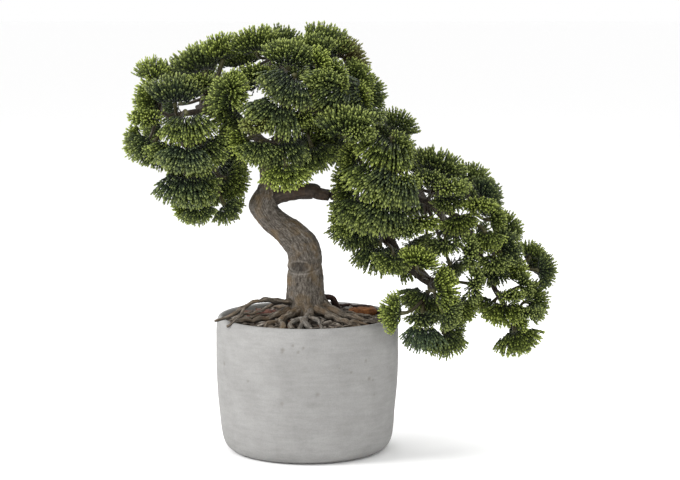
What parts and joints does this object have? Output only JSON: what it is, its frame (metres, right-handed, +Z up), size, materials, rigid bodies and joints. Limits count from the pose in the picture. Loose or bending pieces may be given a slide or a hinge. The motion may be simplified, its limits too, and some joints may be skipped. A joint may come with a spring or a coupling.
{
  "type": "artificial bonsai tree",
  "caption": "Artificial tabletop bonsai with a curved trunk, green plastic sprays on bendable wired branches and knotted roots over bark in a round grey concrete pot",
  "frame": {"origin": "middle of the pot's flat underside", "axes": "+Z up, +X towards the low cascading branch, -Y towards the front, where the trunk's S curve is seen full face"},
  "size_m": [0.3604, 0.1607, 0.3518],
  "materials": {
    "concrete": "matte cast concrete with fine pits",
    "plaster": "rough white plaster",
    "rod_steel": "plain drawn steel",
    "bark_bed": "dry bark chips",
    "bark_chunk": "orange-brown bark",
    "trunk_bark": "moulded bark, painted grey-brown with ochre",
    "limb_bark": "moulded bark, painted dark brown",
    "root_wood": "dry grey-brown root wood",
    "twig_coat": "dark brown wire wrap",
    "spray_green": "soft green plastic, lighter at the tips"
  },
  "bodies": {
    "base": {"pot": "concrete", "filler": "plaster", "anchor_rod": "rod_steel", "dressing": "bark_bed", "trunk": "trunk_bark", "leader": "limb_bark", "right_bough": "limb_bark", "root_left_arch": "root_wood", "root_left_low": "root_wood", "root_front_left": "root_wood", "root_front_knot": "root_wood", "root_front_right": "root_wood", "root_right_long": "root_wood", "root_right_knee": "root_wood", "root_back": "root_wood", "bark_chunk_right": "bark_chunk", "bark_chunk_left": "bark_chunk"},
    "crown_left": {"left_limb": "twig_coat", "left_low_twig": "twig_coat", "left_back_twig": "twig_coat", "sprig_left_tip": "spray_green", "sprig_left_front": "spray_green", "sprig_left_top": "spray_green", "sprig_left_low_front": "spray_green", "sprig_left_low": "spray_green", "sprig_left_low_inner": "spray_green", "sprig_left_back": "spray_green", "sprig_left_back_low": "spray_green"},
    "crown_right": {"right_limb": "twig_coat", "top_twig": "twig_coat", "top_right_twig": "twig_coat", "front_twig": "twig_coat", "crown_back_twig": "twig_coat", "sprig_top": "spray_green", "sprig_top_right": "spray_green", "sprig_right_tip": "spray_green", "sprig_right_comb": "spray_green", "sprig_crown_front": "spray_green", "sprig_bright": "spray_green", "sprig_crown_under": "spray_green", "sprig_crown_back": "spray_green"},
    "cascade": {"cascade_limb": "twig_coat", "cascade_upper_limb": "twig_coat", "cascade_front_twig": "twig_coat", "cascade_back_twig": "twig_coat", "sprig_cascade_left": "spray_green", "sprig_cascade_front": "spray_green", "sprig_cascade_top": "spray_green", "sprig_cascade_dome": "spray_green", "sprig_cascade_right": "spray_green", "sprig_cascade_far": "spray_green", "sprig_cascade_mid": "spray_green", "sprig_cascade_arc": "spray_green", "sprig_cascade_low": "spray_green", "sprig_cascade_low_left": "spray_green", "sprig_cascade_inner": "spray_green", "sprig_cascade_tail": "spray_green", "sprig_cascade_hanging": "spray_green", "sprig_cascade_tip": "spray_green", "sprig_cascade_back": "spray_green"}
  },
  "joints": [
    {"name": "crown_left_bend", "type": "hinge", "parent": "base", "child": "crown_left", "pos_m": [-0.039, 0.002, 0.257], "axis": [0, 1, 0], "range_deg": [-4, 4]},
    {"name": "crown_right_bend", "type": "hinge", "parent": "base", "child": "crown_right", "pos_m": [-0.025, 0.004, 0.257], "axis": [0, 1, 0], "range_deg": [-4, 4]},
    {"name": "cascade_bend", "type": "hinge", "parent": "base", "child": "cascade", "pos_m": [0.022, 0, 0.211], "axis": [0, 1, 0], "range_deg": [-4, 4]}
  ]
}
